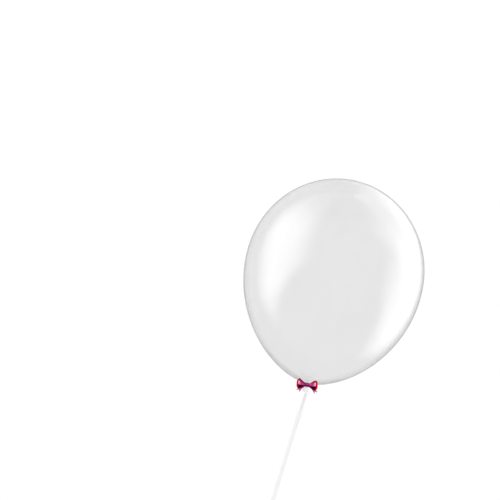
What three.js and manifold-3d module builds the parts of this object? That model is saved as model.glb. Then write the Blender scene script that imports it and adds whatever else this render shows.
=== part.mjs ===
// A clear party balloon lying on its side, with a small ribbon bow and a ribbon string at its
// tied neck. Millimetres, +Z up. The balloon's axis lies along Y with its crown towards +Y, and
// the origin is the centre of the small flat spot that it rests on.
import * as THREE from "three";
import { mergeVertices } from "three/addons/utils/BufferGeometryUtils.js";
import Module from "manifold-3d";

const wasm = await Module();
wasm.setup();

// Envelope. Distances along the axis are measured from the widest circle towards the neck.
const widestRadius = 150;
const crownLength = 159;
const taperLength = 195.5; // where the taper would close if it had no neck
const taperPower = 0.615; // 0.5 would make the taper half an ellipsoid
const shoulderRadius = 16; // where the taper turns into the neck
const flatSpotDepth = 1.5;
const axisHeight = widestRadius - flatSpotDepth;
const aroundSteps = 56;
const crownSteps = 15;
const taperSteps = 17;

// Neck, knot and the rolled lip beyond the knot.
const neckRadius = 4.5;
const neckStart = 198.5;
const neckEnd = 202.3;
const knotLength = 6;
const knotBulge = 0.7; // how far the knot's core stands out from the neck
const knotWrap = { radius: 3.3, thickness: 4, tilt: 20, distance: 205.5 };
const lipWaist = 3.2;
const lipLength = 3.4;
const lipRadius = 4.3;
const lipBead = 0.8; // radius of the rolled rim
const lipMouthDepth = 2.2;
const lipSpread = 0.2; // the lip is wider than round across X ...
const lipPress = 0.35; // ... and flatter in Z

// Ribbon string: its turns round the neck, its run to the floor, and its end loop.
const ribbonWidth = 4.8;
const ribbonThickness = 1.2;
const clearance = 0.3; // gap between pieces that touch
const tieWidth = 3;
const tieDistance = 200.4;
const tieThickness = 0.9;
const tieKnot = { x: 3, radius: 2.9, top: -4, bottom: -10.2 };
const floorGap = 0.2; // the ribbon lies this far above the surface
const ribbonFloor = floorGap + ribbonThickness / 2;
const endKnot = { x: -12.5, radius: 3.9, height: 4.2, flat: -388.3 };
const endLoop = { length: 27, width: 17, wall: 1.2, height: 5 };
const stringSteps = 40;

// Bow: a frame whose x runs along the bow, y is its height and z faces outwards.
const bowPlace = { x: 1.6, distance: 202, rise: 12.2 };
const bowLean = 45; // degrees that the bow leans back on the balloon's shoulder
const bowTwist = 7.5; // degrees that its right side is raised
const bowReach = 16.9; // half its length
const cornerReach = 12.7; // where a loop is tallest
const pinchReach = 2.6; // half the gathered middle
const pinchHeight = 1.7;
const loopTop = 9.6;
const loopBottom = 7.3;
const loopWall = 0.7;
const loopDepth = { middle: 0.45, pinch: 1.25, front: 3.8, back: 2.7 };
const tailEnd = { x: 15, drop: 15.6, bend: 1.3, fall: 56, halfWidth: 2.8, notch: 0.16, thickness: 0.7 };
const tailDepth = { pinch: 1.6, behind: 2.1 };
const bandWidth = 4.6;
const band = { height: 2.7, depth: 2.9, wall: 0.7, corner: 1.2 };

const degrees = Math.PI / 180;

const materials = {
  latex: new THREE.MeshStandardMaterial({
    color: 0xe9eaea, roughness: 0.08, metalness: 0, transparent: true, opacity: 0.3,
  }),
  loops: new THREE.MeshStandardMaterial({ color: 0xc8288a, roughness: 0.25, metalness: 0.5 }),
  tails: new THREE.MeshStandardMaterial({ color: 0xd8509c, roughness: 0.3, metalness: 0.4 }),
  band: new THREE.MeshStandardMaterial({ color: 0x6a0a3c, roughness: 0.3, metalness: 0.4 }),
  string: new THREE.MeshStandardMaterial({ color: 0xf3f3f2, roughness: 0.35, metalness: 0 }),
};

// A three.js geometry as a manifold-3d solid, without the flat triangles at a lathe's poles.
function toSolid(geometry) {
  geometry.deleteAttribute("normal");
  geometry.deleteAttribute("uv");
  const merged = mergeVertices(geometry, 1e-4);
  const index = merged.index.array;
  const triangles = [];
  for (let i = 0; i < index.length; i += 3) {
    const [a, b, c] = index.subarray(i, i + 3);
    if (a !== b && b !== c && c !== a) triangles.push(a, b, c);
  }
  return new wasm.Manifold(new wasm.Mesh({
    numProp: 3,
    vertProperties: Float32Array.from(merged.attributes.position.array),
    triVerts: Uint32Array.from(triangles),
  }));
}

function toGeometry(solid) {
  const mesh = solid.getMesh();
  const geometry = new THREE.BufferGeometry();
  geometry.setAttribute("position", new THREE.BufferAttribute(mesh.vertProperties, 3));
  geometry.setIndex(new THREE.BufferAttribute(mesh.triVerts, 1));
  geometry.computeVertexNormals();
  return geometry;
}

// Moves every vertex of a geometry to place(x, y, z).
function remap(geometry, place) {
  const position = geometry.attributes.position;
  for (let i = 0; i < position.count; i++) {
    position.setXYZ(i, ...place(position.getX(i), position.getY(i), position.getZ(i)));
  }
  geometry.computeVertexNormals();
  return geometry;
}

function makeMesh(name, geometry, material) {
  const mesh = new THREE.Mesh(geometry, material);
  mesh.name = name;
  return mesh;
}

const smooth = (value) => THREE.MathUtils.smoothstep(value, 0, 1);

// Envelope profile ------------------------------------------------------------------------

const point = (radius, distance) => new THREE.Vector2(radius, -distance);

const taperRadius = (distance) =>
  widestRadius * (1 - (distance / taperLength) ** 2) ** taperPower;

function crownProfile() {
  return Array.from({ length: crownSteps }, (_, i) => {
    const angle = (i / crownSteps) * Math.PI / 2;
    return point(widestRadius * Math.sin(angle), -crownLength * Math.cos(angle));
  });
}

function taperProfile(shoulderDistance) {
  const lastAngle = Math.asin(shoulderDistance / taperLength);
  return Array.from({ length: taperSteps + 1 }, (_, i) => {
    const distance = taperLength * Math.sin((i / taperSteps) * lastAngle);
    return point(taperRadius(distance), distance);
  });
}

// The curve from the shoulder to the neck, tangent to both.
function shoulderCurve(shoulderDistance) {
  const step = 0.01;
  const slope = (taperRadius(shoulderDistance) - taperRadius(shoulderDistance - step)) / step;
  const meeting = shoulderDistance + (neckRadius - shoulderRadius) / slope;
  return new THREE.QuadraticBezierCurve(
    point(shoulderRadius, shoulderDistance),
    point(neckRadius, meeting),
    point(neckRadius, neckStart),
  ).getPoints(6).slice(1);
}

function knotProfile() {
  const steps = 6;
  return Array.from({ length: steps + 1 }, (_, i) => {
    const part = i / steps;
    const core = THREE.MathUtils.lerp(neckRadius, lipWaist, part);
    return point(core + knotBulge * Math.sin(Math.PI * part), neckEnd + knotLength * part);
  });
}

// From the lip's waist out to its rolled rim, round the rim, and back into the open mouth.
function lipProfile() {
  const knotEnd = neckEnd + knotLength;
  const beadCentre = { radius: lipRadius - lipBead, distance: knotEnd + lipLength - lipBead };
  const steps = 7;
  const rim = Array.from({ length: steps + 1 }, (_, i) => {
    const angle = (-70 + (i / steps) * 230) * degrees;
    return point(
      beadCentre.radius + lipBead * Math.cos(angle),
      beadCentre.distance + lipBead * Math.sin(angle),
    );
  });
  const mouthEnd = knotEnd + lipLength - lipMouthDepth;
  return [...rim, point(lipWaist / 2, mouthEnd), point(0, mouthEnd)];
}

function balloon() {
  const shoulderDistance =
    taperLength * Math.sqrt(1 - (shoulderRadius / widestRadius) ** (1 / taperPower));
  const profile = [
    ...crownProfile(),
    ...taperProfile(shoulderDistance),
    ...shoulderCurve(shoulderDistance),
    ...knotProfile(),
    ...lipProfile(),
  ].reverse();
  const knotEnd = neckEnd + knotLength;
  const envelope = remap(new THREE.LatheGeometry(profile, aroundSteps), (x, y, z) => {
    const out = smooth((-y - knotEnd) / lipLength);
    return [x * (1 + lipSpread * out), y, z * (1 - lipPress * out)];
  });

  const wrap = new THREE.TorusGeometry(knotWrap.radius, knotWrap.thickness / 2, 10, 20);
  wrap.rotateX((90 + knotWrap.tilt) * degrees);
  wrap.translate(0, -knotWrap.distance, 0);

  const below = new THREE.BoxGeometry(widestRadius, widestRadius, widestRadius);
  below.translate(0, 0, -axisHeight - widestRadius / 2);

  return toGeometry(toSolid(envelope).add(toSolid(wrap)).subtract(toSolid(below)));
}

// String ----------------------------------------------------------------------------------

// Turns of ribbon round the neck, with a small knot on the underside that the string leaves.
function stringTie() {
  const inner = neckRadius + clearance;
  const turns = new THREE.CylinderGeometry(inner + tieThickness, inner + tieThickness, tieWidth, 32);
  const knotHeight = tieKnot.top - tieKnot.bottom;
  const knot = new THREE.CylinderGeometry(tieKnot.radius * 0.85, tieKnot.radius, knotHeight, 10);
  knot.rotateX(Math.PI / 2);
  knot.scale(1, 0.6, 1);
  knot.translate(tieKnot.x, 0, tieKnot.bottom + knotHeight / 2);
  const bore = new THREE.CylinderGeometry(inner, inner, 3 * tieWidth, 32);
  return toGeometry(toSolid(turns).add(toSolid(knot)).subtract(toSolid(bore)));
}

// The string's centreline: down from the tie, round onto the surface, and straight along it.
const stringRoute = [
  [3.0, -200.4, axisHeight + tieKnot.bottom - clearance],
  [2.9, -200.5, 132],
  [2.6, -200.9, 120],
  [2.1, -201.6, 106],
  [1.6, -202.5, 90],
  [1.0, -203.3, 74],
  [0.4, -204.0, 58],
  [-0.3, -204.9, 42],
  [-1.0, -206.4, 28],
  [-1.7, -209.4, 16.5],
  [-2.4, -214.4, 8],
  [-3.0, -221.4, 2.8],
  [-3.6, -230.0, 1.1],
  [-4.2, -240.0, ribbonFloor],
  [-5.1, -256.0, ribbonFloor],
  [-6.1, -274.0, ribbonFloor],
  [-7.2, -294.0, ribbonFloor],
  [-8.4, -315.0, ribbonFloor],
  [-9.6, -337.0, ribbonFloor],
  [-10.8, -358.0, ribbonFloor],
  [-11.8, -376.0, ribbonFloor],
  [endKnot.x, endKnot.flat + clearance, ribbonFloor],
].map((place) => new THREE.Vector3(...place));

// The ribbon's section: a flat octagon, its long side across the string's run.
function ribbonSection() {
  const corners = Array.from({ length: 8 }, (_, i) => {
    const angle = (i + 0.5) * Math.PI / 4;
    const scale = 1 / Math.cos(Math.PI / 8);
    return new THREE.Vector2(
      (ribbonThickness / 2) * scale * Math.cos(angle),
      (ribbonWidth / 2) * scale * Math.sin(angle),
    );
  });
  return new THREE.Shape(corners);
}

function string() {
  return new THREE.ExtrudeGeometry(ribbonSection(), {
    steps: stringSteps,
    extrudePath: new THREE.CatmullRomCurve3(stringRoute),
  });
}

// A knot and a finger loop of ribbon on its edge, which end the string.
function stringLoop() {
  const ring = new THREE.Shape();
  ring.absellipse(0, 0, endLoop.width / 2, endLoop.length / 2, 0, 2 * Math.PI);
  const hole = new THREE.Path();
  const { wall } = endLoop;
  hole.absellipse(0, 0, endLoop.width / 2 - wall, endLoop.length / 2 - wall, 0, 2 * Math.PI);
  ring.holes.push(hole);
  const loop = new THREE.ExtrudeGeometry(ring, {
    depth: endLoop.height, bevelEnabled: false, curveSegments: 14,
  });
  const knotCentre = endKnot.flat - endKnot.radius * Math.cos(Math.PI / 8);
  loop.translate(endKnot.x, knotCentre - endLoop.length / 2, floorGap);
  const knot = new THREE.CylinderGeometry(endKnot.radius, endKnot.radius, endKnot.height, 8);
  knot.rotateY(Math.PI / 8);
  knot.rotateX(Math.PI / 2);
  knot.translate(endKnot.x, knotCentre, floorGap + endKnot.height / 2);
  return toGeometry(toSolid(loop).add(toSolid(knot)));
}

// Bow -------------------------------------------------------------------------------------

// A loop's top and bottom edges at x: gathered at the pinch, tallest at the corner, then round.
function loopEdges(x) {
  const reach = Math.abs(x);
  const spread = THREE.MathUtils.clamp((reach - pinchReach) / (cornerReach - pinchReach), 0, 1);
  const past = Math.max(0, (reach - cornerReach) / (bowReach - cornerReach));
  const top = THREE.MathUtils.lerp(pinchHeight, loopTop, spread ** 1.1);
  const bottom = THREE.MathUtils.lerp(pinchHeight, loopBottom, spread ** 0.9);
  return {
    top: top * Math.sqrt(1 - 0.75 * past ** 2),
    bottom: -bottom * Math.sqrt(1 - 0.8 * past ** 2),
  };
}

// A closed ring of ribbon, drawn out to a loop on each side and gathered at the middle. The
// ring starts as a lathe whose radius is 2 outside and 1 inside.
function bowLoops() {
  const section = [[2, -1], [2, 0], [2, 1], [1, 1], [1, 0], [1, -1], [2, -1]];
  const ring = new THREE.LatheGeometry(section.map((p) => new THREE.Vector2(...p)), 52);
  return remap(ring, (x, y, z) => {
    const inset = loopWall * (2 - Math.hypot(x, z));
    const angle = Math.atan2(z, x);
    const reach = (bowReach - inset) * Math.cos(angle);
    const bulge = z > 0 ? loopDepth.front : loopDepth.back;
    const depth = THREE.MathUtils.lerp(loopDepth.pinch, bulge, smooth(Math.abs(reach) / 12));
    const { top, bottom } = loopEdges(reach);
    return [
      reach,
      THREE.MathUtils.lerp(bottom, top, (y + 1) / 2),
      loopDepth.middle + (depth - inset) * Math.sin(angle),
    ];
  });
}

// A second strip behind the loops. Outside the band it bends down to a notched end on each side.
function bowTails() {
  const strip = new THREE.BoxGeometry(2, 2, tailEnd.thickness, 28, 2, 1);
  const held = bandWidth / 2 + clearance;
  return remap(strip, (along, across, depth) => {
    const side = Math.sign(along);
    const out = Math.max(0, (Math.abs(along) * tailEnd.x - held) / (tailEnd.x - held));
    const notch = tailEnd.notch * (1 - Math.abs(across)) * smooth((out - 0.75) / 0.25);
    const reach = Math.abs(along) * tailEnd.x - notch * (tailEnd.x - held);
    const halfWidth = THREE.MathUtils.lerp(pinchHeight, tailEnd.halfWidth, smooth(out * 1.4));
    const fall = tailEnd.fall * degrees * smooth(out * 2);
    return [
      side * (reach + across * halfWidth * Math.sin(fall)),
      across * halfWidth * Math.cos(fall) - tailEnd.drop * (out * (1 - notch)) ** tailEnd.bend,
      depth - tailDepth.pinch - tailDepth.behind * smooth(out * 1.8),
    ];
  });
}

function roundedBox(shape, halfX, halfY, corner) {
  shape.moveTo(halfX, halfY - corner);
  shape.absarc(halfX - corner, halfY - corner, corner, 0, Math.PI / 2);
  shape.absarc(corner - halfX, halfY - corner, corner, Math.PI / 2, Math.PI);
  shape.absarc(corner - halfX, corner - halfY, corner, Math.PI, 1.5 * Math.PI);
  shape.absarc(halfX - corner, corner - halfY, corner, 1.5 * Math.PI, 2 * Math.PI);
  return shape;
}

// The centre band that holds the loops and tails together.
function bowKnot() {
  const outline = roundedBox(new THREE.Shape(), band.height, band.depth, band.corner);
  outline.holes.push(roundedBox(
    new THREE.Path(), band.height - band.wall, band.depth - band.wall, band.corner - band.wall,
  ));
  const ring = new THREE.ExtrudeGeometry(outline, {
    depth: bandWidth, bevelEnabled: false, curveSegments: 3,
  });
  return remap(ring, (height, depth, along) => [along - bandWidth / 2, height, depth]);
}

// Scene graph -----------------------------------------------------------------------------

const balloonMesh = makeMesh("balloon", balloon(), materials.latex);
balloonMesh.position.set(0, 0, axisHeight);

const tieMesh = makeMesh("string_tie", stringTie(), materials.string);
tieMesh.position.set(0, -tieDistance, axisHeight);

const bow = new THREE.Group();
bow.position.set(bowPlace.x, -bowPlace.distance, axisHeight + bowPlace.rise);
bow.rotation.set(bowLean * degrees, 0, bowTwist * degrees);
bow.add(makeMesh("bow_loops", bowLoops(), materials.loops));
bow.add(makeMesh("bow_tails", bowTails(), materials.tails));
bow.add(makeMesh("bow_knot", bowKnot(), materials.band));

const part = new THREE.Group();
part.add(balloonMesh);
part.add(bow);
part.add(tieMesh);
part.add(makeMesh("string", string(), materials.string));
part.add(makeMesh("string_loop", stringLoop(), materials.string));

export default part;
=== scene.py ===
import math

import bmesh
import bpy
import numpy as np
from mathutils import Matrix, Vector


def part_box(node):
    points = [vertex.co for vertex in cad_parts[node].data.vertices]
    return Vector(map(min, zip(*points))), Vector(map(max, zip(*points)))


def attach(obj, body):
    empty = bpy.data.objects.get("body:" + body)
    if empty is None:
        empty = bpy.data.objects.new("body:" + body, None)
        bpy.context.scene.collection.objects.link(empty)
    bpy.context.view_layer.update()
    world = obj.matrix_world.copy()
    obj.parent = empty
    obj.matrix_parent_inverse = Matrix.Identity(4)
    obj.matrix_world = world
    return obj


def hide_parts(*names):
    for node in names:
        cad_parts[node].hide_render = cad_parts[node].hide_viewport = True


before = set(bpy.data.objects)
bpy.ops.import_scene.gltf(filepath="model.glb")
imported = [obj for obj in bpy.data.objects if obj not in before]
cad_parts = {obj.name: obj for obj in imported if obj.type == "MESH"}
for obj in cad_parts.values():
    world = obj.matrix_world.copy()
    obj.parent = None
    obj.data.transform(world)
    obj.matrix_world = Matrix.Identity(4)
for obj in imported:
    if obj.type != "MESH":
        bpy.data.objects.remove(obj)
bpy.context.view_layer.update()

mm = 0.001
print("frame loaded")


# Helpers: numbers, meshes and nodes

def smooth(value, low=0.0, high=1.0):  # 0 below low, 1 above high, an S between them
    part = np.clip((value - low) / (high - low), 0, 1)
    return part * part * (3 - 2 * part)


def mix(first, second, part):
    return first + (second - first) * part


def steps(low, high, count):
    return np.linspace(low, high, count)


def unit(vectors):
    return vectors / np.linalg.norm(vectors, axis=-1, keepdims=True)


# One mesh from several grids of points. A grid is (rows, columns, 3), with its own (u, v) for
# each point and a material number. Rows and columns that meet themselves are merged after.
def makePiece(name, grids, materials, body="root", replaces=(), flip=False):
    vertices, faces, uvs, numbers = [], [], [], []
    start = 0
    for points, uv, number in grids:
        rows, columns = points.shape[:2]
        index = start + np.arange(rows * columns).reshape(rows, columns)
        corners = [index[:-1, :-1], index[:-1, 1:], index[1:, 1:], index[1:, :-1]]
        quads = np.stack(corners[::-1] if flip else corners, -1).reshape(-1, 4)
        vertices.append(points.reshape(-1, 3))
        uvs.append(uv.reshape(-1, 2))
        faces.append(quads)
        numbers.append(np.full(len(quads), number, dtype=np.int32))
        start += rows * columns
    vertices, faces = np.concatenate(vertices), np.concatenate(faces)
    mesh = bpy.data.meshes.new(name)
    mesh.from_pydata(vertices.tolist(), [], faces.tolist())
    layer = mesh.uv_layers.new(name="ribbon")
    layer.data.foreach_set("uv", np.concatenate(uvs)[faces.reshape(-1)].reshape(-1))
    mesh.polygons.foreach_set("material_index", np.concatenate(numbers))
    mesh.polygons.foreach_set("use_smooth", np.ones(len(faces), dtype=bool))
    made = bmesh.new()
    made.from_mesh(mesh)
    bmesh.ops.remove_doubles(made, verts=made.verts, dist=1e-6)
    made.to_mesh(mesh)
    made.free()
    piece = bpy.data.objects.new(name, mesh)
    bpy.context.scene.collection.objects.link(piece)
    for material in materials:
        mesh.materials.append(material)
    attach(piece, body)
    if replaces:
        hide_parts(*replaces)
    return piece


def gridUv(first, second):  # (u, v) of each grid point from its row and column numbers
    u, v = np.meshgrid(first, second, indexing="ij")
    return np.stack([u, v], -1)


def giveWall(piece, thickness):  # the surface becomes a wall that thick, inwards
    solid = piece.modifiers.new("wall", "SOLIDIFY")
    solid.thickness = thickness
    solid.offset = -1
    solid.use_even_offset = True


# A round tube along a closed path: path + radius (across cos A + up sin A), where across and up
# stand square to the path and are carried on from point to point.
def tubeGrid(path, radius, sides):
    along = unit(np.roll(path, -1, axis=0) - np.roll(path, 1, axis=0))
    across = np.empty_like(along)
    side = np.array([0.3, 0.1, 0.95])
    for i, direction in enumerate(along):  # each side vector follows from the one before
        side = side - direction * side.dot(direction)
        side = side / np.linalg.norm(side)
        across[i] = side
    up = np.cross(along, across)
    angle = steps(0, 2 * math.pi, sides + 1)
    ring = np.cos(angle)[:, None] * across[:, None] + np.sin(angle)[:, None] * up[:, None]
    points = path[:, None] + ring * radius
    return np.concatenate([points, points[:1]])


def addNode(tree, kind, inputs=None, **settings):
    node = tree.nodes.new(kind)
    for key, value in settings.items():
        setattr(node, key, value)
    for socket, value in (inputs or {}).items():
        if isinstance(value, bpy.types.NodeSocket):
            tree.links.new(value, node.inputs[socket])
        else:
            node.inputs[socket].default_value = value
    return node


def calc(tree, operation, *values, clamp=False):
    inputs = dict(enumerate(values))
    return addNode(tree, "ShaderNodeMath", inputs, operation=operation, use_clamp=clamp).outputs[0]


def ramp(tree, value, low, high, start=0.0, end=1.0):  # an S from start to end
    inputs = {"Value": value, "From Min": low, "From Max": high, "To Min": start, "To Max": end}
    node = addNode(tree, "ShaderNodeMapRange", inputs, interpolation_type="SMOOTHSTEP")
    return node.outputs["Result"]


def blendColours(tree, part, first, second):
    inputs = {"Factor": part, "A": first, "B": second}
    node = addNode(tree, "ShaderNodeMix", {}, data_type="RGBA")
    for socket in node.inputs:
        if socket.enabled and socket.name in inputs:
            value = inputs[socket.name]
            if isinstance(value, bpy.types.NodeSocket):
                tree.links.new(value, socket)
            else:
                socket.default_value = value
    return next(o for o in node.outputs if o.enabled)


def newMaterial(name, **plain):
    material = bpy.data.materials.new(name)
    material.use_nodes = True
    tree = material.node_tree
    shader = tree.nodes["Principled BSDF"]
    for socket, value in plain.items():
        shader.inputs[socket.replace("_", " ")].default_value = value
    return material, tree, shader


# Camera: it looks down on the balloon from the neck's side

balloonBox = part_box("balloon")
widest = (balloonBox[1][0] - balloonBox[0][0]) / 2
axisHeight = balloonBox[1][2] - widest

shot = {
    "elevation": 70.0,
    "turn": 14.3,  # degrees round from straight over the string
    "distance": 2.2,
    "lens": 94.59,
    "aimRight": -0.14065,
    "aimUp": 0.0376,
}


def makeCamera():
    high, turn = math.radians(shot["elevation"]), math.radians(shot["turn"])
    back = Vector((math.cos(high) * math.sin(turn), -math.cos(high) * math.cos(turn), math.sin(high)))
    right = Vector((math.cos(turn), math.sin(turn), 0))
    up = back.cross(right)
    aim = Vector((0, 0, axisHeight)) + right * shot["aimRight"] + up * shot["aimUp"]
    place = Matrix((right, up, back)).transposed().to_4x4()
    place.translation = aim + back * shot["distance"]
    lens = bpy.data.cameras.new("camera")
    lens.lens = shot["lens"]
    lens.sensor_width = 36
    lens.clip_end = 50
    camera = bpy.data.objects.new("camera", lens)
    camera.matrix_world = place
    bpy.context.scene.collection.objects.link(camera)
    bpy.context.scene.camera = camera


makeCamera()
print("camera placed")


# White curling ribbon: the string, its tie round the neck and its end loop

ribbonLooks = {
    "colour": (0.81, 0.81, 0.81, 1),
    # painted shade in the rib grooves, also the tone of random darker patches
    "grooveShadeAndTone": (0.74, 0.74, 0.745, 1),
    "ribs": 9,  # fine ribs across its width
    "ribHeight": 0.00006,
    "roughness": 0.38,
}


def makeRibbonMaterial():
    material, tree, shader = newMaterial("whiteRibbon", Roughness=ribbonLooks["roughness"])
    uv = addNode(tree, "ShaderNodeUVMap", uv_map="ribbon").outputs["UV"]
    across = addNode(tree, "ShaderNodeSeparateXYZ", {"Vector": uv}).outputs["Y"]
    wave = calc(tree, "COSINE", calc(tree, "MULTIPLY", across, 2 * math.pi * ribbonLooks["ribs"]))
    rib = calc(tree, "MULTIPLY_ADD", wave, 0.5, 0.5)
    place = addNode(tree, "ShaderNodeTexCoord").outputs["Object"]
    cloud = addNode(tree, "ShaderNodeTexNoise", {"Vector": place, "Scale": 60.0, "Detail": 3.0})
    # Painted shade: darker in the grooves between the ribs; random noise also darkens patches of the
    # ribs.
    mixed = calc(tree, "MULTIPLY", rib, ramp(tree, cloud.outputs["Fac"], 0.3, 0.7, 0.6, 1.0))
    colour = blendColours(tree, mixed, ribbonLooks["grooveShadeAndTone"], ribbonLooks["colour"])
    tree.links.new(colour, shader.inputs["Base Color"])
    bump = {"Height": rib, "Strength": 0.5, "Distance": ribbonLooks["ribHeight"]}
    normal = addNode(tree, "ShaderNodeBump", bump).outputs["Normal"]
    tree.links.new(normal, shader.inputs["Normal"])
    return material


whiteRibbon = makeRibbonMaterial()

stringShape = {
    "width": 4.8 * mm,
    "thickness": 0.6 * mm,
    "length": 0.308,
    "cup": 0.25 * mm,  # how far its middle stands off its edges
    "pointsApart": 1.5 * mm,
}

stringRoute = [
    (0.003, -0.2004, 0.138),
    (0.0029, -0.2005, 0.132),
    (0.0026, -0.2009, 0.12),
    (0.0021, -0.2016, 0.106),
    (0.0016, -0.2025, 0.09),
    (0.001, -0.2033, 0.074),
    (0.0004, -0.204, 0.058),
    (-0.0003, -0.2049, 0.042),
    (-0.001, -0.2064, 0.028),
    (-0.0017, -0.2094, 0.0165),
    (-0.0024, -0.2144, 0.008),
    (-0.003, -0.2214, 0.0028),
    (-0.0036, -0.23, 0.0011),
    (-0.0042, -0.24, 0.0008),
    (-0.0051, -0.256, 0.0008),
    (-0.0061, -0.274, 0.0008),
    (-0.0072, -0.294, 0.0008),
    (-0.0084, -0.315, 0.0008),
    (-0.0096, -0.337, 0.0008),
    (-0.0108, -0.358, 0.0008),
    (-0.0118, -0.376, 0.0008),
    (-0.0125, -0.388, 0.0008),
]


# A smooth line through the points: each stretch between two points is the cubic that leaves
# and arrives parallel to the chords of their neighbours.
def smoothLine(points, apart):
    points = np.array(points)
    ends = np.concatenate([[2 * points[0] - points[1]], points, [2 * points[-1] - points[-2]]])
    a, b, c, d = ends[:-3], ends[1:-2], ends[2:-1], ends[3:]
    t = steps(0, 1, 17)[:-1][None, :, None]
    a, b, c, d = (p[:, None] for p in (a, b, c, d))
    line = b + 0.5 * t * (c - a + t * (2 * a - 5 * b + 4 * c - d + t * (3 * (b - c) + d - a)))
    line = np.concatenate([line.reshape(-1, 3), points[-1:]])
    gone = np.concatenate([[0], np.cumsum(np.linalg.norm(np.diff(line, axis=0), axis=1))])
    even = steps(0, gone[-1], int(gone[-1] / apart) + 1)
    return np.stack([np.interp(even, gone, line[:, k]) for k in range(3)], -1)


# A flat ribbon's section, run once round: its two faces, their edges rounded, and v across it.
def ribbonSection(width, thickness, cup):
    angle = steps(0, 2 * math.pi, 41)
    across = np.sign(np.cos(angle)) * np.abs(np.cos(angle)) ** 0.8 * width / 2
    through = np.sign(np.sin(angle)) * np.abs(np.sin(angle)) ** 0.35 * thickness / 2
    through = through + cup * ((2 * across / width) ** 2 - 0.5)
    return across, through, across / width + 0.5


# The section carried along a path, its width kept along side: path + side across + face through.
# Its ends are closed, unless the path meets itself.
def ribbonAlong(path, side, width, thickness, cup=0.0, closed=False):
    ahead = np.roll(path, -1, axis=0) - np.roll(path, 1, axis=0)
    if not closed:
        ahead[0], ahead[-1] = path[1] - path[0], path[-1] - path[-2]
    along = unit(ahead)
    side = unit(side - along * (side * along).sum(-1, keepdims=True))
    face = np.cross(side, along)
    across, through, v = ribbonSection(width, thickness, cup)
    points = path[:, None] + across[:, None] * side[:, None] + through[:, None] * face[:, None]
    if closed:
        points = np.concatenate([points, points[:1]])
    else:
        caps = [np.broadcast_to(path[k], points[0].shape)[None] for k in (0, -1)]
        points = np.concatenate([caps[0], points, caps[1]])
    u = steps(0, 1, len(points))
    return points, gridUv(u, v)


# A loose overhand knot: a strand along a trefoil line, (sin t + 2 sin 2t, cos t - 2 cos 2t,
# -sin 3t), which fits in the given half sizes.
def knotGrid(centre, halfSize, strand):
    t = steps(0, 2 * math.pi, 121)[:-1]
    line = np.stack([np.sin(t) + 2 * np.sin(2 * t), np.cos(t) - 2 * np.cos(2 * t), -np.sin(3 * t)], -1)
    low, high = line.min(0), line.max(0)
    line = (line - (low + high) / 2) / ((high - low) / 2) * (np.array(halfSize) - strand)
    points = tubeGrid(line + np.array(centre), strand, 14)
    return points, gridUv(steps(0, 1, len(points)), steps(0, 1, 15)), 0


endLoopShape = {
    "wall": 0.6 * mm,
    "width": 4.8 * mm,
    "rise": 2.5 * mm,
    "knotHalf": (3.7 * mm, 3.7 * mm, 2.0 * mm),
    "knotStrand": 1.05 * mm,
    "knotPast": 3.9 * mm,  # beyond the string's last point
    "knotRise": 2.1 * mm,
}


# The string's end: a small knot and a finger loop of the same ribbon, standing on its edge. The
# loop's middle line is an oval, (a cos t, b sin t).
def makeStringLoop():
    shape = endLoopShape
    low, high = (np.array(corner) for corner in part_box("string_loop"))
    across, back = (low[0] + high[0]) / 2, stringRoute[-1][1] - shape["knotPast"]
    knotCentre = np.array([across, back, low[2] + shape["knotRise"]])
    halfWide, halfLong = (high[0] - low[0]) / 2, (knotCentre[1] - low[1]) / 2
    t = steps(0, 2 * math.pi, 97)[:-1]
    wall = shape["wall"]
    middle = np.array([knotCentre[0], low[1] + halfLong, low[2] + shape["rise"]])
    oval = np.stack([(halfWide - wall / 2) * np.cos(t), (halfLong - wall / 2) * np.sin(t), 0 * t], -1)
    side = np.broadcast_to([0.0, 0.0, 1.0], oval.shape)
    loop, uv = ribbonAlong(middle + oval, side, shape["width"], wall, closed=True)
    grids = [(loop, uv, 0), knotGrid(knotCentre, shape["knotHalf"], shape["knotStrand"])]
    return makePiece("ribbon_end_loop", grids, [whiteRibbon],
                     replaces=("string_loop",))


def makeString():
    path = smoothLine(stringRoute, stringShape["pointsApart"])
    side = np.broadcast_to([1.0, 0.0, 0.0], path.shape)
    shape = stringShape
    points, uv = ribbonAlong(path, side, shape["width"], shape["thickness"], shape["cup"])
    piece = makePiece("ribbon_string", [(points, uv, 0)], [whiteRibbon],
                      replaces=("string",))
    return piece


stringLoop = makeStringLoop()
makeString()
print("string laid")

tieShape = {
    "turns": 3,
    "strand": 0.42 * mm,
    "radius": 5.26 * mm,
    "tilt": 0.25 * mm,
    "spacing": 2.1,  # strands from one turn to the next
    "knotStrand": 0.85 * mm,
    "knotHalf": (2.7 * mm, 1.7 * mm),
    "knotDrop": 4.4 * mm,  # from the neck's middle to the knot's top
    "knotRise": 0.1 * mm,
}


# Turns of ribbon drawn tight round the neck, each a circle leaned a little the other way, and
# the knot under it that the string leaves.
def makeTie():
    low, high = (np.array(corner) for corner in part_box("string_tie"))
    neck = np.array([0, (low[1] + high[1]) / 2, axisHeight])
    t = steps(0, 2 * math.pi, 73)[:-1]
    grids = []
    shape = tieShape
    for turn in range(shape["turns"]):
        back = (turn - (shape["turns"] - 1) / 2) * shape["spacing"] * shape["strand"]
        tilt = shape["tilt"] * (-1) ** turn
        x, z = shape["radius"] * np.cos(t), shape["radius"] * np.sin(t)
        ring = np.stack([x, back + tilt * np.sin(t + turn), z], -1)
        points = tubeGrid(neck + ring, shape["strand"], 10)
        grids.append((points, gridUv(steps(0, 1, len(points)), steps(0, 1, 11)), 0))
    top, bottom = axisHeight - shape["knotDrop"], low[2] + shape["knotRise"]
    centre = [stringRoute[0][0], neck[1], (top + bottom) / 2]
    grids.append(knotGrid(centre, [*shape["knotHalf"], (top - bottom) / 2], shape["knotStrand"]))
    return makePiece("ribbon_tie", grids, [whiteRibbon],
                     replaces=("string_tie",))


makeTie()
print("string tied")


# Balloon: clear latex blown up to a thin wall, denser at its neck, knot and rolled lip

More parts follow.
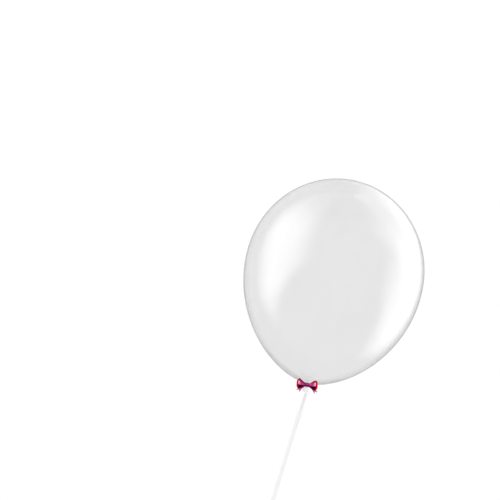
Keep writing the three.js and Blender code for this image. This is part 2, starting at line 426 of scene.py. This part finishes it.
latexLooks = {
    "clear": 0.876,  # how much light a wall passes, seen square on
    "edgeLoss": 0.34,  # less than that where the wall is seen edge on
    "edgeStart": 0.84,
    "bandLoss": 0.14,  # the thick wall near the neck, seen towards its edge
    "bandAlong": (-0.135, -0.17),
    "bandStart": (0.86, 0.57),
    "bandStartAlong": (-0.15, -0.19),
    "bandSoftness": 0.05,
    "bandLean": 1.0,  # for each metre across: the thick wall reaches further on one side
    "neckLoss": 0.015,
    "neckAlong": (-0.18, -0.2),
    "crownLoss": 0.02,
    "crownFrom": 0.1,
    "streakLoss": 0.012,
    "streakScale": 22.0,
    "roughness": 0.03,
    "neckColour": (0.96, 0.96, 0.955, 1),
    "neckShade": (0.90, 0.90, 0.895, 1),
    "neckGrain": 700.0,
}


# Light is lost in the wall where it is seen edge on, in its thick band near the neck, and a
# little at the neck, the crown and in faint streaks along it. What is left tints the shader.
def makeClearLatex():
    material, tree, shader = newMaterial("clearLatex", Transmission_Weight=1.0, IOR=1.45, Metallic=0.0)
    looks = latexLooks
    place = addNode(tree, "ShaderNodeTexCoord").outputs["Object"]
    axes = addNode(tree, "ShaderNodeSeparateXYZ", {"Vector": place}).outputs
    across, along = axes["X"], axes["Y"]
    edge = addNode(tree, "ShaderNodeLayerWeight", {"Blend": 0.5}).outputs["Facing"]
    edgeLoss = ramp(tree, edge, looks["edgeStart"], 1.0, 0.0, looks["edgeLoss"])
    bandStart = ramp(tree, along, *looks["bandStartAlong"], *looks["bandStart"])
    leaned = calc(tree, "MULTIPLY_ADD", across, looks["bandLean"], bandStart)
    bandEdge = calc(tree, "SUBTRACT", edge, leaned)
    nearNeck = ramp(tree, along, *looks["bandAlong"], 0.0, looks["bandLoss"])
    bandLoss = calc(tree, "MULTIPLY", ramp(tree, bandEdge, 0.0, looks["bandSoftness"]), nearNeck)
    neckLoss = ramp(tree, along, *looks["neckAlong"], 0.0, looks["neckLoss"])
    crownLoss = ramp(tree, along, looks["crownFrom"], widest, 0.0, looks["crownLoss"])
    stretched = addNode(tree, "ShaderNodeMapping", {"Vector": place, "Scale": (1.0, 0.12, 1.0)})
    flow = {
        "Vector": stretched.outputs["Vector"],
        "Scale": looks["streakScale"],
        "Detail": 4.0,
        "Roughness": 0.55,
    }
    cloud = addNode(tree, "ShaderNodeTexNoise", flow).outputs["Fac"]
    streakLoss = ramp(tree, cloud, 0.35, 0.75, 0.0, looks["streakLoss"])
    losses = calc(tree, "MAXIMUM", edgeLoss, bandLoss)
    for loss in (neckLoss, crownLoss, streakLoss):
        losses = calc(tree, "ADD", losses, loss)
    passed = calc(tree, "SUBTRACT", looks["clear"], losses, clamp=True)
    colour = addNode(tree, "ShaderNodeCombineColor", {"Red": passed, "Green": passed, "Blue": passed})
    tree.links.new(colour.outputs["Color"], shader.inputs["Base Color"])
    rough = ramp(tree, cloud, 0.3, 0.8, looks["roughness"] * 0.5, looks["roughness"] * 1.5)
    tree.links.new(rough, shader.inputs["Roughness"])
    return material


def makeDenseLatex():
    material, tree, shader = newMaterial("denseLatex", Transmission_Weight=0.55, IOR=1.45, Roughness=0.2)
    place = addNode(tree, "ShaderNodeTexCoord").outputs["Object"]
    grain = {"Vector": place, "Scale": latexLooks["neckGrain"], "Detail": 3.0}
    fine = addNode(tree, "ShaderNodeTexNoise", grain).outputs["Fac"]
    colour = blendColours(tree, fine, latexLooks["neckShade"], latexLooks["neckColour"])
    tree.links.new(colour, shader.inputs["Base Color"])
    normal = addNode(tree, "ShaderNodeBump", {"Height": fine, "Strength": 0.4, "Distance": 0.0002})
    tree.links.new(normal.outputs["Normal"], shader.inputs["Normal"])
    return material


latexShape = {  # millimetres, distances from the widest circle towards the neck
    "crown": 159.0,
    "taper": 195.5,
    "power": 0.615,
    "shoulder": 16.0,
    "neck": 4.5,
    "neckStart": 198.5,
    "neckEnd": 202.3,
    "knotLength": 6.0,
    "knotBulge": 0.7,
    "lipWaist": 3.2,
    "lipLength": 3.4,
    "lipRadius": 4.3,
    "lipBead": 0.8,
    "mouthDepth": 2.2,
    "lipSpread": 0.2,
    "lipPress": 0.35,
    "pleats": 15,
    "pleatDepth": 0.35,
    "wall": 0.28,
    "columns": 180,
}


# Radius and distance of each ring of the envelope, from the crown's pole to the lip's mouth:
# half an ellipse, then R (1 - (d / L) ^ 2) ^ p, a curve tangent to the taper and the neck, a
# bulging knot, and the rolled rim.
def latexProfile():
    shape = latexShape
    radius = widest / mm
    turn = steps(0, math.pi / 2, 50)[:-1]
    parts = [(radius * np.sin(turn), -shape["crown"] * np.cos(turn))]
    shoulder = shape["taper"] * math.sqrt(1 - (shape["shoulder"] / radius) ** (1 / shape["power"]))
    distance = shape["taper"] * np.sin(steps(0, math.asin(shoulder / shape["taper"]), 76))
    taper = radius * (1 - (distance / shape["taper"]) ** 2) ** shape["power"]
    parts.append((taper, distance))
    slope = (taper[-1] - taper[-2]) / (distance[-1] - distance[-2])
    meeting = shoulder + (shape["neck"] - shape["shoulder"]) / slope
    t = steps(0, 1, 19)[1:]
    parts.append((
        (1 - t) ** 2 * shape["shoulder"] + 2 * t * (1 - t) * shape["neck"] + t ** 2 * shape["neck"],
        (1 - t) ** 2 * shoulder + 2 * t * (1 - t) * meeting + t ** 2 * shape["neckStart"],
    ))
    t = steps(0, 1, 17)
    core = mix(shape["neck"], shape["lipWaist"], t) + shape["knotBulge"] * np.sin(math.pi * t)
    parts.append((core, shape["neckEnd"] + shape["knotLength"] * t))
    knotEnd = shape["neckEnd"] + shape["knotLength"]
    bead = np.radians(steps(-70, 160, 20))
    rim = shape["lipRadius"] - shape["lipBead"]
    parts.append((rim + shape["lipBead"] * np.cos(bead),
                  knotEnd + shape["lipLength"] - shape["lipBead"] * (1 - np.sin(bead))))
    mouth = knotEnd + shape["lipLength"] - shape["mouthDepth"]
    parts.append((np.array([shape["lipWaist"] / 2, 0.0]), np.array([mouth, mouth])))
    return np.concatenate([p[0] for p in parts]), np.concatenate([p[1] for p in parts])


# The envelope round its axis. Near the neck its radius has pleats that run into the knot, and
# beyond it the lip is wider across X and flatter in Z. Underneath it rests on a flat spot.
def latexEnvelope():
    shape = latexShape
    radius, distance = latexProfile()
    angle = steps(0, 2 * math.pi, shape["columns"] + 1)
    wave = 0.6 * np.cos(shape["pleats"] * angle) + 0.4 * np.cos(9 * angle + 1.3)
    gather = smooth(distance, 176, 197) * smooth(-distance, -208.5, -206)
    depth = shape["pleatDepth"] * gather * np.minimum(1, radius / 9)
    rings = radius[:, None] - depth[:, None] * (0.5 + 0.5 * wave[None, :])
    rings = np.maximum(rings, 0)
    beyond = smooth(distance - shape["neckEnd"] - shape["knotLength"], 0, shape["lipLength"])[:, None]
    x = rings * np.cos(angle) * (1 + shape["lipSpread"] * beyond)
    y = np.broadcast_to(-distance[:, None], x.shape)
    z = rings * np.sin(angle) * (1 - shape["lipPress"] * beyond) + axisHeight / mm
    z = 0.5 * (z + np.sqrt(z ** 2 + 0.3 ** 2))  # flattened at the floor, never below it
    uv = gridUv(steps(0, 1, len(radius)), steps(0, 1, len(angle)))
    points = np.stack([x, y, z], -1) * mm
    neck = int(np.argmax(distance > shape["neckStart"]))
    return [(points[:neck + 1], uv[:neck + 1], 0), (points[neck:], uv[neck:], 1)]


wrapShape = {"ring": 3.3, "strand": 1.85, "tilt": 20.0, "distance": 205.5}  # mm and degrees


# The knot's wrap: a torus of rolled latex, tilted, its strand a little thicker along a spiral.
def knotWrap():
    shape = wrapShape
    t, s = steps(0, 2 * math.pi, 97)[:, None], steps(0, 2 * math.pi, 29)[None, :]
    thick = shape["strand"] * (1 + 0.07 * np.cos(3 * s + 2 * t) + 0.05 * np.cos(t))
    out = shape["ring"] + thick * np.cos(s)
    x, y, z = out * np.cos(t), thick * np.sin(s) + 0 * t, out * np.sin(t)
    lean = np.array(Matrix.Rotation(math.radians(shape["tilt"]), 3, "X"))
    centre = np.array([0, -shape["distance"], axisHeight / mm])
    points = (np.stack([x, y, z], -1) @ lean.T + centre) * mm
    return points, gridUv(steps(0, 1, 97), steps(0, 1, 29)), 1


def makeBalloon():
    materials = [makeClearLatex(), makeDenseLatex()]
    grids = latexEnvelope() + [knotWrap()]
    piece = makePiece("balloon_envelope", grids, materials, replaces=("balloon",))
    giveWall(piece, latexShape["wall"] * mm)
    piece.visible_shadow = False  # the clear wall leaves the floor's light as it is
    piece.visible_diffuse = False
    return piece


makeBalloon()
print("balloon blown up")


# Bow: a foil ribbon gathered into two loops, two notched tails behind them, and a band

bowShape = {  # millimetres, x along the bow, y its height, z outwards
    "lean": 45.0,
    "twist": 7.5,
    "reach": 16.9,
    "corner": 12.7,
    "pinch": 2.6,
    "pinchHeight": 1.7,
    "top": 9.6,
    "bottom": 7.3,
    "middle": 0.45,
    "pinchDepth": 1.25,
    "front": 3.8,
    "back": 2.7,
    "foil": 0.3,
    "folds": 3,
    "foldDepth": 0.35,
}

foilColours = {
    "red": (0.52, 0.001, 0.011, 1),
    "hemRed": (0.80, 0.010, 0.035, 1),
    "hemRose": (0.58, 0.038, 0.205, 1),
    # painted shade and reflection: dark maroon along the loop's lower edge
    "paintedEdgeShade": (0.12, 0.006, 0.02, 1),
    # painted highlight: a pale pink-white streak near the loop's outer end
    "paintedHighlight": (1.0, 0.78, 0.88, 1),
    # painted sheen: paler pink round the painted highlight
    "paintedSheen": (0.78, 0.20, 0.50, 1),
    "magenta": (0.64, 0.032, 0.28, 1),
    # painted shade: dark plum where the loops gather
    "paintedGatherShade": (0.26, 0.010, 0.10, 1),
    # painted shade and reflection: black across the loop's lower part
    "paintedLowShade": (0.004, 0.001, 0.003, 1),
    "tail": (0.68, 0.13, 0.42, 1),
    "tailEdge": (0.38, 0.05, 0.21, 1),
    # painted shade and highlight on the band: darker and lighter stripes for its folds, a pale streak
    "bandFoldShade": (0.15, 0.004, 0.06, 1),
    "bandFoldLit": (0.30, 0.012, 0.13, 1),
    "bandHighlight": (0.62, 0.30, 0.45, 1),
    "edge": (0.55, 0.15, 0.28, 1),  # tint where foil is seen edge on
}

foilZones = {  # where each colour begins and is full: out along the loop and up its width, 0 to 1
    "magentaOut": (0.12, 0.36),
    "sheenOut": (0.52, 0.74),
    "highlightOut": (0.69, 0.79),
    "highlightUp": (0.50, 0.62),
    "lowShadeUp": (0.52, 0.46),
    "lowShadeOut": (0.05, 0.3),
    "edgeShadeUp": (0.27, 0.20),
    "hemUp": (0.86, 0.92),
    "hemRedOut": (0.5, 0.75),
    "redOut": (0.80, 0.85),
}

crinkle = {"scale": 900.0, "depth": 1.0, "strength": 0.35, "height": 0.0003}


# Foil's fine crinkle: noise as a height, one group for every foil.
def makeCrinkle():
    group = bpy.data.node_groups.new("foilCrinkle", "ShaderNodeTree")
    face = group.interface
    face.new_socket("Scale", in_out="INPUT", socket_type="NodeSocketFloat")
    face.new_socket("Depth", in_out="INPUT", socket_type="NodeSocketFloat")
    face.new_socket("Height", in_out="OUTPUT", socket_type="NodeSocketFloat")
    source, result = group.nodes.new("NodeGroupInput"), group.nodes.new("NodeGroupOutput")
    place = addNode(group, "ShaderNodeTexCoord").outputs["Object"]
    grain = {"Vector": place, "Scale": source.outputs["Scale"], "Detail": 4.0}
    noise = addNode(group, "ShaderNodeTexNoise", grain).outputs["Fac"]
    height = calc(group, "MULTIPLY", noise, source.outputs["Depth"])
    group.links.new(height, result.inputs["Height"])
    return group


foilCrinkle = makeCrinkle()


def addCrinkle(tree, shader):
    node = addNode(tree, "ShaderNodeGroup", node_tree=foilCrinkle)
    node.inputs["Scale"].default_value = crinkle["scale"]
    node.inputs["Depth"].default_value = crinkle["depth"]
    bump = {
        "Height": node.outputs["Height"],
        "Strength": crinkle["strength"],
        "Distance": crinkle["height"],
    }
    normal = addNode(tree, "ShaderNodeBump", bump).outputs["Normal"]
    tree.links.new(normal, shader.inputs["Normal"])


# Loop foil: along the loop plum at the gather, which is painted shade, then magenta, a paler pink
# that is painted sheen, a pale painted highlight, then red round the end. A red hem follows the top
# edge, rose towards the gather. The lower part is painted shade and reflection: black, with a dark
# maroon edge below.
def makeLoopFoil():
    colours, zones = foilColours, foilZones
    plain = {"Metallic": 1.0, "Roughness": 0.28, "Specular_Tint": colours["edge"]}
    material, tree, shader = newMaterial("loopFoil", **plain)
    uv = addNode(tree, "ShaderNodeUVMap", uv_map="ribbon").outputs["UV"]
    place = addNode(tree, "ShaderNodeSeparateXYZ", {"Vector": uv})
    out, up = place.outputs["X"], place.outputs["Y"]
    # Painted shade: plum at the gather, turning to magenta further out.
    magenta = ramp(tree, out, *zones["magentaOut"])
    colour = blendColours(tree, magenta, colours["paintedGatherShade"], colours["magenta"])
    colour = blendColours(tree, ramp(tree, out, *zones["sheenOut"]), colour, colours["paintedSheen"])
    # Painted sheen and highlight: paler pink towards the outer end, then a pale streak high on the loop.
    paintedHighlightZone = calc(tree, "MULTIPLY", ramp(tree, out, *zones["highlightOut"]), ramp(tree, up, *zones["highlightUp"]))
    colour = blendColours(tree, paintedHighlightZone, colour, colours["paintedHighlight"])
    # Painted shade and reflection: the loop's lower part black, its lowest edge dark maroon.
    low = calc(tree, "MULTIPLY", ramp(tree, up, *zones["lowShadeUp"]), ramp(tree, out, *zones["lowShadeOut"]))
    colour = blendColours(tree, low, colour, colours["paintedLowShade"])
    lowEdgeShade = ramp(tree, up, *zones["edgeShadeUp"], 0.0, 0.9)
    colour = blendColours(tree, lowEdgeShade, colour, colours["paintedEdgeShade"])
    hem = blendColours(tree, ramp(tree, out, *zones["hemRedOut"]), colours["hemRose"], colours["hemRed"])
    colour = blendColours(tree, ramp(tree, up, *zones["hemUp"]), colour, hem)
    colour = blendColours(tree, ramp(tree, out, *zones["redOut"]), colour, colours["red"])
    tree.links.new(colour, shader.inputs["Base Color"])
    addCrinkle(tree, shader)
    return material


def makeTailFoil():
    plain = {"Metallic": 1.0, "Roughness": 0.3, "Specular_Tint": foilColours["edge"]}
    material, tree, shader = newMaterial("tailFoil", **plain)
    uv = addNode(tree, "ShaderNodeUVMap", uv_map="ribbon").outputs["UV"]
    across = addNode(tree, "ShaderNodeSeparateXYZ", {"Vector": uv}).outputs["Y"]
    edge = calc(tree, "ABSOLUTE", calc(tree, "MULTIPLY_ADD", across, 2.0, -1.0))
    edgePart = ramp(tree, edge, 0.5, 0.95)
    colour = blendColours(tree, edgePart, foilColours["tail"], foilColours["tailEdge"])
    tree.links.new(colour, shader.inputs["Base Color"])
    addCrinkle(tree, shader)
    return material


def makeBandFoil():
    plain = {"Metallic": 1.0, "Roughness": 0.3, "Specular_Tint": foilColours["edge"]}
    material, tree, shader = newMaterial("bandFoil", **plain)
    uv = addNode(tree, "ShaderNodeUVMap", uv_map="ribbon").outputs["UV"]
    place = addNode(tree, "ShaderNodeSeparateXYZ", {"Vector": uv})
    # Painted shade: darker and lighter stripes across the band for its gathered folds.
    wave = calc(tree, "COSINE", calc(tree, "MULTIPLY", place.outputs["Y"], 18.0))
    fold = calc(tree, "MULTIPLY_ADD", wave, 0.5, 0.5)
    colour = blendColours(tree, fold, foilColours["bandFoldShade"], foilColours["bandFoldLit"])
    # Painted highlight: a pale streak round the band, high on its front.
    paintedHighlightZone = calc(tree, "ABSOLUTE", calc(tree, "SUBTRACT", place.outputs["X"], 0.09))
    colour = blendColours(tree, ramp(tree, paintedHighlightZone, 0.04, 0.0), colour, foilColours["bandHighlight"])
    tree.links.new(colour, shader.inputs["Base Color"])
    addCrinkle(tree, shader)
    return material


# From the bow's own frame to the row's: turned about z, leaned about x, and set where the band is.
def placeBow(points):
    low, high = (Vector(corner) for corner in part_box("bow_knot"))
    lean = Matrix.Rotation(math.radians(bowShape["lean"]), 3, "X")
    twist = Matrix.Rotation(math.radians(bowShape["twist"]), 3, "Z")
    return points * mm @ np.array(lean @ twist).T + np.array((low + high) / 2)


# A closed ring of ribbon: x = reach cos A and z = depth sin A, its height growing from the
# gathered middle to the corner and then rounding off. Folds run out from the gather.
def makeLoops():
    shape = bowShape
    angle, v = steps(0, 2 * math.pi, 145)[:, None], steps(0, 1, 33)[None, :]
    x = shape["reach"] * np.cos(angle) + 0 * v
    reach = np.abs(x)
    spread = np.clip((reach - shape["pinch"]) / (shape["corner"] - shape["pinch"]), 0, 1)
    past = np.maximum(0, (reach - shape["corner"]) / (shape["reach"] - shape["corner"]))
    top = mix(shape["pinchHeight"], shape["top"], spread ** 1.1) * np.sqrt(1 - 0.75 * past ** 2)
    bottom = -mix(shape["pinchHeight"], shape["bottom"], spread ** 0.9) * np.sqrt(1 - 0.8 * past ** 2)
    bulge = np.where(np.sin(angle) > 0, shape["front"], shape["back"])
    depth = mix(shape["pinchDepth"], bulge, smooth(reach / 12))
    folded = shape["foldDepth"] * smooth(reach, 1.5, 5) * smooth(-reach, -15, -5)
    fold = np.maximum(0, np.cos(2 * math.pi * shape["folds"] * v)) * folded
    z = shape["middle"] + (depth - fold) * np.sin(angle)
    points = placeBow(np.stack([x, mix(bottom, top, v), z], -1))
    uv = np.stack([reach / shape["reach"], v + 0 * x], -1)
    piece = makePiece("bow_ribbon", [(points, uv, 0)], [makeLoopFoil()],
                      replaces=("bow_loops",), flip=True)
    giveWall(piece, shape["foil"] * mm)
    return piece


tailShape = {
    "reach": 15.0,
    "drop": 15.6,
    "bend": 1.3,
    "fall": 56.0,  # degrees that its ends point down
    "halfWidth": 2.8,
    "notch": 0.16,
    "pinchDepth": 1.6,
    "behind": 2.1,
    "held": 2.6,
    "foil": 0.35,
}


# A strip whose ends bend down and backwards, widening to a swallowtail notch.
def makeTails():
    shape = tailShape
    u, v = steps(-1, 1, 121)[:, None], steps(-1, 1, 25)[None, :]
    along, side = np.abs(u) * shape["reach"], np.sign(u)
    out = np.maximum(0, (along - shape["held"]) / (shape["reach"] - shape["held"]))
    notch = shape["notch"] * (1 - np.abs(v)) * smooth(out, 0.75, 1)
    reach = along - notch * (shape["reach"] - shape["held"])
    halfWidth = mix(bowShape["pinchHeight"], shape["halfWidth"], smooth(out * 1.4))
    fall = math.radians(shape["fall"]) * smooth(out * 2)
    x = side * (reach + v * halfWidth * np.sin(fall))
    y = v * halfWidth * np.cos(fall) - shape["drop"] * (out * (1 - notch)) ** shape["bend"]
    curl = 0.25 * np.cos(math.pi * v) * smooth(out)
    z = -shape["pinchDepth"] - shape["behind"] * smooth(out * 1.8) + curl + 0 * x + shape["foil"] / 2
    points = placeBow(np.stack([x, y, z], -1))
    uv = np.stack([(u + 1) / 2 + 0 * v, (v + 1) / 2 + 0 * u], -1)
    piece = makePiece("bow_tail_strip", [(points, uv, 0)], [makeTailFoil()],
                      replaces=("bow_tails",))
    giveWall(piece, shape["foil"] * mm)
    return piece


bandShape = {"halfHeight": 2.42, "halfDepth": 2.6, "halfWidth": 2.3, "foil": 0.4}  # mm


# The band: a rounded box section round x, |cos A| ^ 4 and |sin A| ^ 4 summing to 1, with gathered
# folds along its width.
def makeBand():
    shape = bandShape
    angle, across = steps(0, 2 * math.pi, 97)[:, None], steps(-1, 1, 33)[None, :]
    fold = 0.12 * np.cos(3 * math.pi * across) + 0.22 * across ** 2
    boxy = (np.abs(np.cos(angle)) ** 4 + np.abs(np.sin(angle)) ** 4) ** -0.25
    y = (shape["halfHeight"] + fold) * boxy * np.cos(angle)
    z = (shape["halfDepth"] + fold) * boxy * np.sin(angle)
    points = placeBow(np.stack([shape["halfWidth"] * across + 0 * angle, y, z], -1))
    uv = np.stack([angle / (2 * math.pi) + 0 * across, (across + 1) / 2 + 0 * angle], -1)
    piece = makePiece("bow_band", [(points, uv, 0)], [makeBandFoil()],
                      replaces=("bow_knot",))
    giveWall(piece, shape["foil"] * mm)
    return piece


makeLoops()
makeTails()
makeBand()
print("bow tied")


# Stage: a plain pale floor, a soft white surround and two long soft boxes

studio = {
    "floor": (0.87, 0.87, 0.87, 1),
    "floorHalf": 3.0,
    "surround": 1.18,
    "mirrored": 0.85,  # what gloss sees between the boxes, darker than the surround ...
    "below": 0.55,  # ... and darkest below, so that clear edges show
    "leftBox": {
        "turn": -72.0, "drift": -40.0, "core": 8.0, "fade": 48.0, "spread": 1.0,
        "low": (-0.7, -0.2), "high": (1.05, 0.4), "light": 4.8,
    },
    "rightBox": {
        "turn": 104.0, "drift": 15.0, "core": 8.0, "fade": 50.0, "spread": 1.8,
        "low": (-0.7, -0.2), "high": (1.3, 0.4), "light": 4.0,
    },
}


def makeFloor():
    half = studio["floorHalf"]
    mesh = bpy.data.meshes.new("floor")
    corners = [(-half, -half, 0), (half, -half, 0), (half, half, 0), (-half, half, 0)]
    mesh.from_pydata(corners, [], [(0, 1, 2, 3)])
    floor = bpy.data.objects.new("floor", mesh)
    bpy.context.scene.collection.objects.link(floor)
    plain = {"Roughness": 1.0, "Base_Color": studio["floor"], "Specular_IOR_Level": 0.0}
    material = newMaterial("floorPaper", **plain)[0]
    mesh.materials.append(material)
    floor.visible_glossy = False  # gloss mirrors the surround instead, darker below, so edges show


# A soft box in the surround: bright round one angle about the balloon's axis, fading to each
# side and, along the axis, at its low and high ends. Towards the neck it drifts and narrows,
# and towards the crown it can spread.
def addBox(tree, around, along, box):
    neckward = calc(tree, "MAXIMUM", calc(tree, "MULTIPLY", along, -1.0), 0.0)
    centre = calc(tree, "MULTIPLY_ADD", neckward, math.radians(box["drift"]), math.radians(box["turn"]))
    off = calc(tree, "WRAP", calc(tree, "SUBTRACT", around, centre), math.pi, -math.pi)
    narrow = calc(tree, "MULTIPLY_ADD", calc(tree, "MULTIPLY", neckward, neckward), 4.0, 1.0)
    spread = ramp(tree, along, 0.4, 0.75, 1.0, 1 / box["spread"])
    off = calc(tree, "MULTIPLY", calc(tree, "ABSOLUTE", off), calc(tree, "MULTIPLY", narrow, spread))
    light = ramp(tree, off, math.radians(box["fade"]), math.radians(box["core"]), 0.0, box["light"])
    for end in (box["low"], box["high"]):
        light = calc(tree, "MULTIPLY", light, ramp(tree, along, *end))
    return light


def makeSurround():
    world = bpy.data.worlds.new("studio")
    bpy.context.scene.world = world
    world.use_nodes = True
    tree = world.node_tree
    direction = addNode(tree, "ShaderNodeTexCoord").outputs["Generated"]
    axes = addNode(tree, "ShaderNodeSeparateXYZ", {"Vector": direction}).outputs
    around = calc(tree, "ARCTAN2", axes["X"], axes["Z"])
    light = ramp(tree, axes["Z"], -0.62, -0.95, studio["mirrored"], studio["below"])
    for name in ("leftBox", "rightBox"):
        light = calc(tree, "ADD", light, addBox(tree, around, axes["Y"], studio[name]))
    ray = addNode(tree, "ShaderNodeLightPath").outputs
    gloss = calc(tree, "MULTIPLY", ray["Is Glossy Ray"], ray["Is Reflection Ray"])
    extra = calc(tree, "MULTIPLY", calc(tree, "SUBTRACT", light, studio["surround"]), gloss)
    light = calc(tree, "ADD", extra, studio["surround"])
    tree.links.new(light, tree.nodes["Background"].inputs["Strength"])
    tree.nodes["Background"].inputs["Color"].default_value = (1, 1, 1, 1)


makeFloor()
makeSurround()
bpy.context.scene.view_settings.view_transform = "Standard"
print("stage set")
